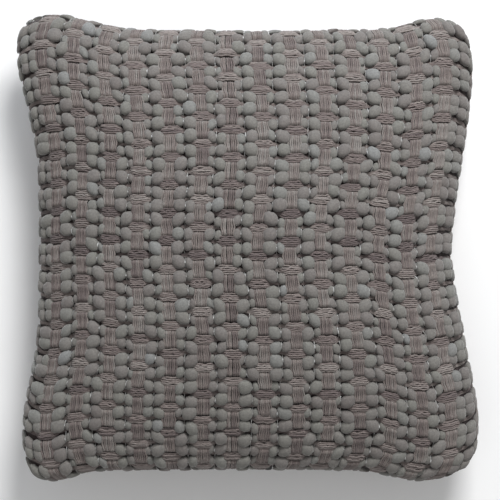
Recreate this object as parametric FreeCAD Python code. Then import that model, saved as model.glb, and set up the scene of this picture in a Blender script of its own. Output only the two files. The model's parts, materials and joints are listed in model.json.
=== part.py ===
"""Throw pillow: a chunky woven cover with a hidden zip, and the filled insert inside it.

The pillow lies flat on its back panel. +Z is up through its thickness, +X and +Y run along
its sides, and the zip is in the -Y seam. The origin is the middle of the face that it rests on.
All lengths are in millimetres.
"""

import FreeCAD, Part
import math
import os

Vector = FreeCAD.Vector

# Cover outline at the seam: the middle of each side, and how each side swells out to its two
# corners, as the shares of the half side where the swell starts and ends, and its size. Each
# corner is then pulled in along both axes to round it.
SIDE_LEFT = -204.0
SIDE_RIGHT = 197.0
SIDE_FRONT = -214.5
SIDE_REAR = 212.5
SWELL_LEFT = {-1: (0.28, 0.85, 16.5), 1: (0.30, 0.95, 23.5)}
SWELL_RIGHT = {-1: (-0.12, 0.95, 30.0), 1: (-0.12, 0.85, 21.5)}
SWELL_FRONT = {-1: (0.68, 0.90, 14.5), 1: (0.48, 0.74, 11.0)}
SWELL_REAR = {-1: (0.45, 0.90, 16.5), 1: (0.62, 0.86, 13.0)}
CORNER_PULL = {(-1, -1): 11.0, (-1, 1): 10.0, (1, -1): 18.0, (1, 1): 11.0}
CORNER_PULL_POWER = 10.0

# Thickness: the seam's height, the crown above it, and the belly that would sag below the floor.
SEAM_Z = 58.0
CROWN = 72.0
BELLY_PAST_FLOOR = 7.0
DOME_POWER = 2.2
DOME_ROOT = 0.75
DOME_CORNER = 0.7
FLOOR_BLEND = 0.8

# Cloth thicknesses, and the gap left between one layer and the next.
WEAVE_AT_CROWN = 8.0
WEAVE_AT_SEAM = 3.0
LINING = 1.0
CANVAS = 1.2
LABEL = 0.3
CASING = 0.9
LAYER_GAP = 0.35
PANEL_RIM_GAP = 0.15
FILL_GAP = 1.5

# Inside the seam, measured inwards from the outline. The insert's front side is straighter than
# the cover's: it follows only a share of the swell there, and so keeps clear of the zip.
ALLOWANCE_START = 6.0
ALLOWANCE_END = 11.3
ALLOWANCE_BELOW = 1.4
ALLOWANCE_ABOVE = 0.7
SEAM_THREAD_START = 7.0
SEAM_THREAD_WIDTH = 0.8
THREAD = 0.5
INSERT_SEAM_START = 12.3
INSERT_RIM = 14.8
INSERT_SWELL_SHARE = 0.2
INSERT_SEAM_HALF = 0.7
CLOSING_HALF_LENGTH = 70.0

# Zip, along X in the -Y seam. The cover gapes round it by ZIP_GAP_HALF each way, and closes
# again over ZIP_MOUTH past either end, where the tapes' tails run on inside the seam.
ZIP_START = -150.0
ZIP_END = 104.0
ZIP_GAP_HALF = 4.9
ZIP_MOUTH = 30.0
ZIP_DEPTH = 7.2
TAPE = 0.6
TAPE_REACH = 6.9
CHAIN_SLIT_HALF = 0.6
COIL_DEPTH = 1.5
COIL_REACH = 2.4
COIL_SPINE = 0.9
COIL_PITCH = 2.0
COIL_TOOTH = 1.1
STOP_LENGTH = 2.6
TAPE_TAIL = 26.0
ZIP_STITCH_AT = 5.7

# Slider and pull tab.
SLIDER_LENGTH = 9.0
PLATE = 1.0
RUNNING_GAP = 0.4
BRIDGE_HALF = 0.28
BRIDGE_LENGTH = 2.2
BAIL_HALF_LENGTH = 3.2
BAIL_WIDTH = 1.2
BAIL_HEIGHT = 2.2
BAIL_BAR = 0.9
PULL_LENGTH = 24.0
PULL_WIDTH = 6.0
PULL_THICK = 0.9
PULL_WINDOW = 2.1
PULL_WINDOW_LENGTH = 3.9
PULL_PIVOT_RISE = 1.1

# Care label, on the inside of the back panel beside the left seam, as shares of the half sizes.
LABEL_U = (-0.955, -0.845)
LABEL_V = (0.06, 0.22)
LABEL_GRID = 5

GRID = 41


def half(value):
    """Which half of the pillow a coordinate is in: 1 or -1."""
    return 1 if value >= 0 else -1


def ease(share):
    """A smooth step from 0 to 1."""
    return (1 - math.cos(math.pi * min(1.0, max(0.0, share)))) / 2


def swell(side, along):
    """How far a side stands out past its middle, at a share of the way along from -1 to 1."""
    start, end, size = side[half(along)]
    return size * (ease((abs(along) - start) / (end - start)) - ease(-start / (end - start)))


def plan_raw(u, v, inset):
    """Where the point (u, v) of the square from -1 to 1 lies on the pillow, seen from above."""
    left = SIDE_LEFT - swell(SWELL_LEFT, v) + inset
    right = SIDE_RIGHT + swell(SWELL_RIGHT, v) - inset
    front = SIDE_FRONT - swell(SWELL_FRONT, u) + inset
    rear = SIDE_REAR + swell(SWELL_REAR, u) - inset
    pull = CORNER_PULL[(half(u), half(v))] * (abs(u) * abs(v)) ** CORNER_PULL_POWER
    x = (left + right) / 2 + u * (right - left) / 2 - half(u) * pull
    y = (front + rear) / 2 + v * (rear - front) / 2 - half(v) * pull
    if inset >= INSERT_SEAM_START:
        y += (1 - INSERT_SWELL_SHARE) * swell(SWELL_FRONT, u) * max(0.0, -v) ** 8
    return x, y


def outline_centre():
    """The middle of the box round the outline, which becomes the origin."""
    steps = [2 * i / 400 - 1 for i in range(401)]
    points = [plan_raw(s, e, 0) for s in steps for e in (-1, 1)]
    points += [plan_raw(e, s, 0) for s in steps for e in (-1, 1)]
    xs = [p[0] for p in points]
    ys = [p[1] for p in points]
    return (min(xs) + max(xs)) / 2, (min(ys) + max(ys)) / 2


CENTRE_X, CENTRE_Y = outline_centre()
FRONT_Y = SIDE_FRONT - CENTRE_Y


def plan(u, v, inset):
    """The same point measured from the origin."""
    x, y = plan_raw(u, v, inset)
    return x - CENTRE_X, y - CENTRE_Y


def dome(u, v):
    """The share of the full crown at (u, v): 1 in the middle and 0 along the seam."""
    across = max(0.0, 1 - abs(u) ** DOME_POWER)
    along = max(0.0, 1 - abs(v) ** DOME_POWER)
    either = across + along - across * along
    if either == 0:
        return 0.0
    return (across * along / either**DOME_CORNER) ** DOME_ROOT


def zip_mouth(x, v):
    """How far the cover's edge stands back from the seam line to leave the zip showing."""
    opening = ease((x - ZIP_START + ZIP_MOUTH) / ZIP_MOUTH) * ease((ZIP_END + ZIP_MOUTH - x) / ZIP_MOUTH)
    return ZIP_GAP_HALF * opening * max(0.0, -v) ** 8


def soft_least(a, b):
    """The lesser of two depths, with the corner between them rounded off."""
    low = min(a, b)
    return low - FLOOR_BLEND * math.log(math.exp((low - a) / FLOOR_BLEND) + math.exp((low - b) / FLOOR_BLEND))


def front_layer(inset, below_crown, rim_lift=PANEL_RIM_GAP):
    """A surface of the upper half, inset at the seam and lowered at the crown."""

    def point(u, v):
        x, y = plan(u, v, inset)
        z = SEAM_Z + rim_lift + zip_mouth(x, v) + (CROWN - below_crown) * dome(u, v)
        return Vector(x, y, z)

    return point


def back_layer(inset, above_floor, rim_drop=PANEL_RIM_GAP):
    """A surface of the lower half, which flattens above_floor over the face it rests on."""

    def point(u, v):
        x, y = plan(u, v, inset)
        belly = (SEAM_Z + BELLY_PAST_FLOOR - above_floor) * dome(u, v)
        depth = belly if above_floor == 0 else soft_least(belly, SEAM_Z - above_floor)
        return Vector(x, y, SEAM_Z - rim_drop - zip_mouth(x, v) - depth)

    return point


def spaced(low, high, count):
    """Values from low to high, closer together towards both ends."""
    middle = (low + high) / 2
    reach = (high - low) / 2
    return [middle + reach * math.sin(math.pi * (i / (count - 1) - 0.5)) for i in range(count)]


def smooth_surface(point, u_range, v_range, count):
    """A spline surface through a grid of points of one layer."""
    us = spaced(*u_range, count)
    vs = spaced(*v_range, count)
    surface = Part.BSplineSurface()
    surface.interpolate([[point(u, v) for v in vs] for u in us])
    return surface


def rim_curves(surface):
    """The four edges of a surface, in a fixed order."""
    u0, u1, v0, v1 = surface.bounds()
    curves = (surface.uIso(u0), surface.uIso(u1), surface.vIso(v0), surface.vIso(v1))
    return [curve.toShape() for curve in curves]


def between(first, second, u_range=(-1, 1), v_range=(-1, 1), count=GRID):
    """The closed solid between two layers, each through a grid of count by count points."""
    a = smooth_surface(first, u_range, v_range, count)
    b = smooth_surface(second, u_range, v_range, count)
    faces = [a.toShape(), b.toShape()]
    faces += [Part.makeRuledSurface(p, q) for p, q in zip(rim_curves(a), rim_curves(b))]
    shell = Part.Shell(faces)
    shell.sewShape()
    solid = Part.Solid(Part.Shell(shell.Faces))
    if solid.Volume < 0:
        solid.reverse()
    return solid


def outline_points(inset, turns):
    """Points of the outline at the given shares of the way round, from the middle of the rear side.

    One turn runs rear, left, front and right, a quarter of a turn to each side.
    """
    found = []
    for turn in turns:
        side = int(math.floor(turn * 4 + 0.5)) % 4
        along = (turn * 4 + 0.5) % 1.0 * 2 - 1
        u, v = [(-along, 1), (-1, -along), (along, -1), (1, along)][side]
        x, y = plan(u, v, inset)
        found.append(Vector(x, y, 0))
    return found


def smooth_edge(points):
    """One spline edge through some points."""
    curve = Part.BSplineCurve()
    curve.interpolate(points)
    return curve.toShape()


def seam_strip(start, end, low, high, first_turn, last_turn):
    """A flat strip that follows the outline between two insets, from one turn to another."""
    pieces = max(8, int(96 * (last_turn - first_turn)))
    turns = [first_turn + (last_turn - first_turn) * i / pieces for i in range(pieces + 1)]
    outer = outline_points(start, turns)
    inner = outline_points(end, turns)
    edges = [
        smooth_edge(outer),
        Part.makeLine(outer[-1], inner[-1]),
        smooth_edge(list(reversed(inner))),
        Part.makeLine(inner[0], outer[0]),
    ]
    face = Part.Face(Part.Wire(edges))
    face.translate(Vector(0, 0, low))
    return face.extrude(Vector(0, 0, high - low))


def box(x0, x1, y0, y1, z0, z1):
    """A box between two corners."""
    return Part.makeBox(x1 - x0, y1 - y0, z1 - z0, Vector(x0, y0, z0))


def turn_at_x(x, inset):
    """The turn on the front side at which the outline passes x."""
    low, high = 0.375, 0.625
    for _ in range(40):
        middle = (low + high) / 2
        if outline_points(inset, [middle])[0].x < x:
            low = middle
        else:
            high = middle
    return low


# ---- cover -------------------------------------------------------------------------------


def front_panel():
    """The chunky woven front, thinner where it is pressed into the seam."""
    return between(front_layer(0, 0), front_layer(WEAVE_AT_SEAM, WEAVE_AT_CROWN))


LINING_INSET = WEAVE_AT_SEAM + LAYER_GAP
LINING_DROP = WEAVE_AT_CROWN + LAYER_GAP


def front_lining():
    """The dark cotton that backs the open weave."""
    outer = front_layer(LINING_INSET, LINING_DROP)
    inner = front_layer(LINING_INSET + LINING, LINING_DROP + LINING)
    return between(outer, inner)


def back_panel():
    """The plain canvas back, cut flat where the pillow rests."""
    solid = between(back_layer(0, 0), back_layer(CANVAS, CANVAS))
    span = 600
    under = box(-span, span, -span, span, -span, 0)
    return solid.cut(under)


def care_label():
    """A small blank woven label against the inside of the back panel."""
    outer = back_layer(CANVAS + LAYER_GAP, CANVAS + LAYER_GAP)
    inner = back_layer(CANVAS + LAYER_GAP + LABEL, CANVAS + LAYER_GAP + LABEL)
    return between(outer, inner, LABEL_U, LABEL_V, LABEL_GRID)


ZIP_TURN_FIRST = turn_at_x(ZIP_START - TAPE_TAIL - 4, ALLOWANCE_START)
ZIP_TURN_LAST = turn_at_x(ZIP_END + TAPE_TAIL + 4, ALLOWANCE_START)


def seam_allowance():
    """The trimmed and overlocked edges of both panels, turned in round all but the zip."""
    low = SEAM_Z - ALLOWANCE_BELOW
    high = SEAM_Z + ALLOWANCE_ABOVE
    return seam_strip(ALLOWANCE_START, ALLOWANCE_END, low, high, ZIP_TURN_LAST, ZIP_TURN_FIRST + 1)


def seam_thread():
    """The lockstitch that joins the panels, lying on the seam allowance."""
    low = SEAM_Z + ALLOWANCE_ABOVE
    end = SEAM_THREAD_START + SEAM_THREAD_WIDTH
    return seam_strip(SEAM_THREAD_START, end, low, low + THREAD, ZIP_TURN_LAST, ZIP_TURN_FIRST + 1)


# ---- zip ---------------------------------------------------------------------------------

TAPE_Y = FRONT_Y + ZIP_DEPTH
COIL_Y = TAPE_Y - COIL_DEPTH
SLIDER_X = ZIP_END - STOP_LENGTH - SLIDER_LENGTH / 2 - RUNNING_GAP


def zip_side(up, x0, x1, y0, y1, near, far):
    """A box on one side of the chain's middle: up is 1 above it and -1 below it."""
    z0, z1 = sorted((SEAM_Z + up * near, SEAM_Z + up * far))
    return box(x0, x1, y0, y1, z0, z1)


def zip_tape(up):
    """One woven tape, from the slit in the middle to behind the cover's edge."""
    x0 = ZIP_START - TAPE_TAIL
    x1 = ZIP_END + TAPE_TAIL
    return zip_side(up, x0, x1, TAPE_Y, TAPE_Y + TAPE, CHAIN_SLIT_HALF, TAPE_REACH)


def zip_coil(up):
    """One row of the chain: a spine with a tooth at each turn of the coil."""
    first = ZIP_START + STOP_LENGTH
    last = ZIP_END - STOP_LENGTH
    count = int((last - first) / COIL_PITCH)
    offset = 0 if up > 0 else COIL_PITCH / 2
    spine = SEAM_Z + up * COIL_REACH
    root = SEAM_Z + up * (COIL_REACH - COIL_SPINE)
    tip = SEAM_Z + up * CHAIN_SLIT_HALF
    points = [(last, root), (last, spine), (first, spine), (first, root)]
    for i in range(count):
        x = first + offset + i * COIL_PITCH + (COIL_PITCH - COIL_TOOTH) / 2
        if x + COIL_TOOTH < last:
            points += [(x, root), (x, tip), (x + COIL_TOOTH, tip), (x + COIL_TOOTH, root)]
    corners = [Vector(x, COIL_Y, z) for x, z in points]
    face = Part.Face(Part.makePolygon(corners + corners[:1]))
    return face.extrude(Vector(0, COIL_DEPTH, 0))


def zip_top_stops():
    """The two clamped stops that the slider closes against."""
    x0 = ZIP_END - STOP_LENGTH
    sides = [zip_side(up, x0, ZIP_END, COIL_Y, TAPE_Y, CHAIN_SLIT_HALF, COIL_REACH) for up in (1, -1)]
    return Part.makeCompound(sides)


def zip_bottom_stop():
    """The one stop across both rows at the open end."""
    x1 = ZIP_START + STOP_LENGTH
    return box(ZIP_START, x1, COIL_Y, TAPE_Y, SEAM_Z - COIL_REACH, SEAM_Z + COIL_REACH)


def zip_stitching():
    """The two rows of stitches that hold the tapes to the cover, on the inside of the tapes."""
    x0 = ZIP_START - TAPE_TAIL
    x1 = ZIP_END + TAPE_TAIL
    y0 = TAPE_Y + TAPE
    far = ZIP_STITCH_AT + SEAM_THREAD_WIDTH
    rows = [zip_side(up, x0, x1, y0, y0 + THREAD, ZIP_STITCH_AT, far) for up in (1, -1)]
    return Part.makeCompound(rows)


SLIDER_OUTER_Y = COIL_Y - RUNNING_GAP - PLATE
SLIDER_HALF_HEIGHT = COIL_REACH + RUNNING_GAP + PLATE
PIVOT_Y = SLIDER_OUTER_Y - PULL_PIVOT_RISE


def zip_slider():
    """Two plates round the chain, joined by a thin bridge in its slit, with a bail for the pull."""
    x0 = SLIDER_X - SLIDER_LENGTH / 2
    x1 = SLIDER_X + SLIDER_LENGTH / 2
    z0 = SEAM_Z - SLIDER_HALF_HEIGHT
    z1 = SEAM_Z + SLIDER_HALF_HEIGHT
    inner_y = TAPE_Y + TAPE + RUNNING_GAP
    solid = box(x0, x1, SLIDER_OUTER_Y, SLIDER_OUTER_Y + PLATE, z0, z1)
    solid = solid.fuse(box(x0, x1, inner_y, inner_y + PLATE, z0, z1))
    near = COIL_REACH + RUNNING_GAP
    for up in (1, -1):
        flange = zip_side(up, x0, x1, SLIDER_OUTER_Y, TAPE_Y - RUNNING_GAP, near, SLIDER_HALF_HEIGHT)
        solid = solid.fuse(flange)
    bridge_z = (SEAM_Z - BRIDGE_HALF, SEAM_Z + BRIDGE_HALF)
    solid = solid.fuse(box(x1 - BRIDGE_LENGTH, x1, SLIDER_OUTER_Y, inner_y + PLATE, *bridge_z))
    bail_z = (SEAM_Z - BAIL_WIDTH / 2, SEAM_Z + BAIL_WIDTH / 2)
    bail = box(
        SLIDER_X - BAIL_HALF_LENGTH,
        SLIDER_X + BAIL_HALF_LENGTH,
        SLIDER_OUTER_Y - BAIL_HEIGHT - BAIL_BAR,
        SLIDER_OUTER_Y,
        *bail_z,
    )
    hollow = box(
        SLIDER_X - BAIL_HALF_LENGTH + BAIL_BAR,
        SLIDER_X + BAIL_HALF_LENGTH - BAIL_BAR,
        SLIDER_OUTER_Y - BAIL_HEIGHT,
        SLIDER_OUTER_Y,
        *bail_z,
    )
    return solid.fuse(bail.cut(hollow)).removeSplitter()


def zip_pull():
    """The pull tab, lying back along the chain, with its round eye bar under the slider's bail."""
    tab_half = PULL_WIDTH / 2
    bar = PULL_THICK / 2
    low = PIVOT_Y - bar
    high = PIVOT_Y + bar
    tab = box(SLIDER_X - PULL_LENGTH, SLIDER_X, low, high, SEAM_Z - tab_half, SEAM_Z + tab_half)
    window_half = PULL_WINDOW / 2
    window_start = SLIDER_X - bar - PULL_WINDOW_LENGTH
    window = box(window_start, SLIDER_X, low, high, SEAM_Z - window_half, SEAM_Z + window_half)
    eye_bar = Part.makeCylinder(bar, PULL_WIDTH, Vector(SLIDER_X, PIVOT_Y, SEAM_Z - tab_half))
    return tab.cut(window).fuse(eye_bar).removeSplitter()


# ---- insert ------------------------------------------------------------------------------

CASING_DROP = LINING_DROP + LINING + LAYER_GAP
CASING_RISE = CANVAS + 2 * LAYER_GAP + LABEL
CASING_RIM_GAP = 0.5


def insert_casing_front():
    """The upper half of the insert's thin plain casing."""
    outer = front_layer(INSERT_RIM, CASING_DROP, CASING_RIM_GAP)
    inner = front_layer(INSERT_RIM + CASING, CASING_DROP + CASING, CASING_RIM_GAP)
    return between(outer, inner)


def insert_casing_back():
    """The lower half of the insert's casing."""
    outer = back_layer(INSERT_RIM, CASING_RISE, CASING_RIM_GAP)
    inner = back_layer(INSERT_RIM + CASING, CASING_RISE + CASING, CASING_RIM_GAP)
    return between(outer, inner)


REAR_TURNS = CLOSING_HALF_LENGTH / (SIDE_RIGHT - SIDE_LEFT) / 4


def insert_seam():
    """The overlocked edge round the insert, except across the hole that it was filled through."""
    low = SEAM_Z - INSERT_SEAM_HALF
    high = SEAM_Z + INSERT_SEAM_HALF
    end = INSERT_RIM - CASING_RIM_GAP
    return seam_strip(INSERT_SEAM_START, end, low, high, REAR_TURNS, 1 - REAR_TURNS)


def insert_closing_stitch():
    """The single row of stitches that closes the filling hole, in the rear side of the insert."""
    low = SEAM_Z - THREAD / 2
    high = SEAM_Z + THREAD / 2
    end = INSERT_RIM - CASING_RIM_GAP
    return seam_strip(end - SEAM_THREAD_WIDTH, end, low, high, -REAR_TURNS, REAR_TURNS)


def insert_fill():
    """The polyester fibre that the casing is stuffed with."""
    rim = INSERT_RIM + CASING + FILL_GAP
    rim_half = 1.0
    top = front_layer(rim, CASING_DROP + CASING + FILL_GAP, rim_half)
    bottom = back_layer(rim, CASING_RISE + CASING + FILL_GAP, rim_half)
    return between(top, bottom)


PIECES = {
    "front_panel": front_panel,
    "front_lining": front_lining,
    "back_panel": back_panel,
    "care_label": care_label,
    "seam_allowance": seam_allowance,
    "seam_thread": seam_thread,
    "zip_tape_upper": lambda: zip_tape(1),
    "zip_tape_lower": lambda: zip_tape(-1),
    "zip_coil_upper": lambda: zip_coil(1),
    "zip_coil_lower": lambda: zip_coil(-1),
    "zip_top_stops": zip_top_stops,
    "zip_bottom_stop": zip_bottom_stop,
    "zip_stitching": zip_stitching,
    "zip_slider": zip_slider,
    "zip_pull": zip_pull,
    "insert_casing_front": insert_casing_front,
    "insert_casing_back": insert_casing_back,
    "insert_seam": insert_seam,
    "insert_closing_stitch": insert_closing_stitch,
    "insert_fill": insert_fill,
}


def main():
    """Write one STEP file for each piece, and say where the zip's moving pieces are."""
    os.makedirs("parts", exist_ok=True)
    for name, make in PIECES.items():
        shape = make()
        size = shape.optimalBoundingBox(True)
        print(
            f"{name:22s} valid {shape.isValid()} volume {shape.Volume / 1000:9.2f} cm3"
            f"  x {size.XMin:8.2f} {size.XMax:8.2f}  y {size.YMin:8.2f} {size.YMax:8.2f}"
            f"  z {size.ZMin:7.2f} {size.ZMax:7.2f}"
        )
        shape.exportStep(f"parts/{name}.step")
    print(f"slider travel {SLIDER_X - SLIDER_LENGTH / 2 - RUNNING_GAP - (ZIP_START + STOP_LENGTH):.2f}")
    print(f"pull pivot x {SLIDER_X:.3f} y {PIVOT_Y:.3f} z {SEAM_Z:.3f}")


main()
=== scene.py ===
import json
import math

import bpy
import numpy as np
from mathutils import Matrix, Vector


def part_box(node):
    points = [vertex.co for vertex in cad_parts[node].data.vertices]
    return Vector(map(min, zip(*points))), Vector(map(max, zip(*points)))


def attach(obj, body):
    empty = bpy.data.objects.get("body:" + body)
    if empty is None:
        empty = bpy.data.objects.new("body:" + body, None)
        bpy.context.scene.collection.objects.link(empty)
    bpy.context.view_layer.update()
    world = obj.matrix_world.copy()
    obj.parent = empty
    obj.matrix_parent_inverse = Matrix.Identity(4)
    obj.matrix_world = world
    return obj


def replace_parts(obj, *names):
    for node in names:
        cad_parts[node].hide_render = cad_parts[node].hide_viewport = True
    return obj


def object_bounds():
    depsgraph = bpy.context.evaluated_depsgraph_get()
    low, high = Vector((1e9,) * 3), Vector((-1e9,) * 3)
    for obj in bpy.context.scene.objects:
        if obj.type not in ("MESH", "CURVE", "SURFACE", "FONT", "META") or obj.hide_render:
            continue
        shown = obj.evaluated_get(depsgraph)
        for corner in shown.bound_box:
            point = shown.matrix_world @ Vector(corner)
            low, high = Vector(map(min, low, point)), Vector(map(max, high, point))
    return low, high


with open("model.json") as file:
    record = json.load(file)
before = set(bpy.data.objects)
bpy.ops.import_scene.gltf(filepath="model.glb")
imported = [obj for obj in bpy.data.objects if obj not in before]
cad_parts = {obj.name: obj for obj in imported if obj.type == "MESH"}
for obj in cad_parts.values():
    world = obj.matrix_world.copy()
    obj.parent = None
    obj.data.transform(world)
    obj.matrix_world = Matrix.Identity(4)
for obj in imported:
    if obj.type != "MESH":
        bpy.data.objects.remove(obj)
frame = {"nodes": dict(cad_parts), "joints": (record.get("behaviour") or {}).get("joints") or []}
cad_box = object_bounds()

# Lengths are in millimetres, apart from the label, camera and lights. Meshes are made in metres.
MM = 0.001
SEED = 11

# The cloth laid flat: its half sizes, and the pitch and size of its threads.
HALF_WIDTH = 236.0
HALF_LENGTH = 237.0
BAND_PITCH = 30.9
BAND_SHIFT = 13.5
BAND_WIDTH = 15.4
BAND_ENDS = 7
END_RADIUS = 1.02
ROW_PITCH = 13.8
ROWS_EACH_WAY = 17
PICKS = 5
PICK_RADIUS = 0.98
BINDER_RADIUS = 0.5
THREAD_POINTS = 6

# A rope: its pebbles, the pinch at each pebble's end, and the flat stretch under a band.
PEBBLE_HALF_HEIGHT = 6.8
PEBBLE_HALF_THICK = 4.8
PEBBLE_HEIGHT = 3.9
PEBBLE_SAMPLES = 11
PINCH_WIDTH = 0.26
PINCH_THICK = 0.34
PINCH_HEIGHT = 2.9
UNDER_WIDTH = 4.2
UNDER_THICK = 1.6
UNDER_HEIGHT = 1.9
TUCK = 4.5
LENS_PUSH = 1.9
WIDE_GAP = 30.0
ROPE_POINTS = 14
ROPE_SQUARE = 2.4

# How high the bands and picks lie, and how far apart picks lie over a band and under the ropes.
BAND_LOW = 1.3
BAND_RISE = 4.4
LENS_HEIGHT = 5.6
LENS_FAN = 1.9
BUNDLE_LOW = 0.25
BUNDLE_FAN = 0.6

# The furthest place for a band, how far the outer gaps run past the seam, and the squash beside it.
OUTER_BAND = HALF_WIDTH - 12
PAST_SEAM = 7
SQUASH_WIDTH = 14.0
SQUASH_LEAST = 0.4

# The skins: their insets from the outline, the weave's depth, their grids and their domes.
RIM_ZONE = 150
WEAVE_INSET = 2.4
WEAVE_SHIFT = (-2.3, 2.3)
WEAVE_DEPTH = 8.2
CANVAS_INSET = 3.2
CANVAS_THICK = 1.2
LINING_THICK = 0.9
CELLS = 96
FINE = 4
DOME_POWER = 2.2
DOME_ROOT = 0.75
DOME_CORNER = 0.7
BELLY_PAST_FLOOR = 7.0
FLOOR_BLEND = 1.5
MOUTH_CLOSE = 30.0
MOUTH_CLEARANCE = 1.1
CLOTH_FRAMES = 25

# Sewing: the turned-in edges, the label in metres, and how a stitch rises and thins.
ALLOWANCE_WIDTH = 5.3
ALLOWANCE_BEYOND_ZIP = 5
LABEL_SIZE = (0.027, 0.038)
LABEL_THICK = 0.3
LABEL_GAP = 0.35
STITCH_RISE = np.array([0.0, 0.6, 1.0, 0.6, 0.0])
STITCH_SHAPE = np.array([0.55, 0.95, 1.0, 0.95, 0.55])

# The zip, and the casing of the insert.
TAPE_HALF = 0.26
COIL_PITCH = 2.0
COIL_WIRE = 0.25
STOP_BEVEL = 0.3
RUNNING_GAP = 0.4
PLATE = 1.0
PLATE_BEVEL = 0.32
BAIL_HALF = 3.2
BAIL_BAR = 0.45
GRIP_RIDGES = 5
GRIP_PITCH = 1.7
CASING_THICK = 0.7

# The camera and the floor, in metres, apart from the sensor.
VIEW_CENTRE = (0.0, 0.0005)
VIEW_HEIGHT = 1.75
VIEW_WIDTH = 0.4865
SENSOR = 36.0
FLOOR_REACH = 6.0

rng = np.random.default_rng(SEED)


def corners(node):
    """A CAD node's lowest and highest corners."""
    return [np.array(corner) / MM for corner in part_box(node)]


def middle_and_half(node):
    """A CAD node's middle and half size."""
    low, high = corners(node)
    return (low + high) / 2, (high - low) / 2


CAD_REACH = np.array(cad_box[1]) / MM
PIVOT = np.array(frame["joints"][1]["pos_m"]) / MM
SEAM_Z = PIVOT[2]
CROWN_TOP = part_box("front_panel")[1].z / MM
STOP_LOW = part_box("zip_bottom_stop")[0] / MM
STOP_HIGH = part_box("zip_top_stops")[1] / MM
SLIDER_LOW, SLIDER_HIGH = (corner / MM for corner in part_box("zip_slider"))
MOUTH_HALF = (SLIDER_HIGH.z - SLIDER_LOW.z) / 2 + MOUTH_CLEARANCE


# ---- the outline and the skins ----


def read(items, name, width, kind=np.float32):
    """One property of each vertex or edge of a mesh."""
    values = np.empty(len(items) * width, kind)
    items.foreach_get(name, values)
    return values.reshape(-1, width)


def distances(line):
    """The distance along a line at each of its points."""
    return np.concatenate([[0], np.cumsum(np.linalg.norm(np.diff(line, axis=0), axis=1))])


def walk(line, length, at):
    """The points at the given distances along a line."""
    return np.stack([np.interp(at, length, part) for part in line.T], axis=-1)


def smooth_step(x):
    """A smooth step from 0 to 1."""
    x = np.clip(x, 0, 1)
    return x * x * (3 - 2 * x)


def signed_power(x, power):
    """A power of a number's size, with its sign kept."""
    return np.sign(x) * np.abs(x) ** power


def section(points, square=2.0):
    """How far across and up the points of a ring are, which is round or nearly square."""
    angle = (np.arange(points) + 0.5) / points * 2 * math.pi
    return signed_power(np.cos(angle), 2 / square), signed_power(np.sin(angle), 2 / square)


def cad_outline(bins=360):
    """The cover's outline seen from above, anticlockwise, from the CAD front panel's edges."""
    mesh = frame["nodes"]["front_panel"].data
    co = read(mesh.vertices, "co", 3)[:, :2].astype(float) / MM
    pairs = read(mesh.edges, "vertices", 2, np.int32)
    outer = np.abs(co).max(axis=1) > RIM_ZONE
    pairs = pairs[outer[pairs].all(axis=1)]
    share = np.linspace(0, 1, 12)[:, None, None]
    co = (co[pairs[:, 0]] * (1 - share) + co[pairs[:, 1]] * share).reshape(-1, 2)
    angle = np.arctan2(co[:, 1], co[:, 0])
    index = ((angle + math.pi) / (2 * math.pi) * bins).astype(int) % bins
    best = np.zeros(bins)
    np.maximum.at(best, index, np.hypot(co[:, 0], co[:, 1]))
    middle = (np.arange(bins) + 0.5) / bins * 2 * math.pi - math.pi
    for _ in range(2):
        best = (np.roll(best, 1) + 2 * best + np.roll(best, -1)) / 4
    return np.stack([best * np.cos(middle), best * np.sin(middle)], axis=1)


def inset_outline(points, inset):
    """An outline moved inwards."""
    along = np.roll(points, -1, axis=0) - np.roll(points, 1, axis=0)
    along /= np.linalg.norm(along, axis=1, keepdims=True)
    return points + inset * np.stack([-along[:, 1], along[:, 0]], axis=1)


def outline_sides(points, count):
    """The front, rear, left and right sides of an outline, as count evenly spaced points each.

    The front and rear sides run along +X, and the left and right sides along +Y.
    """
    ring = np.vstack([points, points[:1]])
    length = distances(ring)

    def side(start, end):
        first, last = (length[np.argmax(points @ np.array(way))] for way in (start, end))
        if last < first:
            last += length[-1]
        return walk(ring, length, np.linspace(first, last, count) % length[-1])

    front = side((-1, -1), (1, -1))
    right = side((1, -1), (1, 1))
    rear = side((1, 1), (-1, 1))[::-1]
    left = side((-1, 1), (-1, -1))[::-1]
    return front, rear, left, right


def coons(sides, u, v):
    """Points of the patch spanned by the four sides, at u and v from 0 to 1."""
    front, rear, left, right = sides
    at = np.linspace(0, 1, len(front))
    u1 = u[..., None]
    v1 = v[..., None]
    across = (1 - v1) * walk(front, at, u) + v1 * walk(rear, at, u)
    along = (1 - u1) * walk(left, at, v) + u1 * walk(right, at, v)
    flat = (1 - u1) * (1 - v1) * front[0] + u1 * (1 - v1) * front[-1]
    flat = flat + (1 - u1) * v1 * rear[0] + u1 * v1 * rear[-1]
    return across + along - flat


def dome(u, v):
    """The share of the full crown at u and v from 0 to 1: 1 in the middle and 0 along the seam."""
    across = np.clip(1 - np.abs(2 * u - 1) ** DOME_POWER, 0, None)
    along = np.clip(1 - np.abs(2 * v - 1) ** DOME_POWER, 0, None)
    either = np.maximum(across + along - across * along, 1e-9)
    return (across * along / either**DOME_CORNER) ** DOME_ROOT


def mouth(x, v):
    """How far a skin's edge stands back from the seam line to leave the zip showing."""
    opened = smooth_step((x - STOP_LOW.x + MOUTH_CLOSE) / MOUTH_CLOSE)
    opened = opened * smooth_step((STOP_HIGH.x + MOUTH_CLOSE - x) / MOUTH_CLOSE)
    return MOUTH_HALF * opened * np.clip(1 - 2 * v, 0, 1) ** 8


def surface_point(sides, crown, up, u, v):
    """A point of a skin before it is simulated."""
    xy = coons(sides, u, v)
    height = crown * dome(u, v) + mouth(xy[..., 0], v)
    return np.concatenate([xy, (SEAM_Z + up * height)[..., None]], axis=-1)


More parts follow.
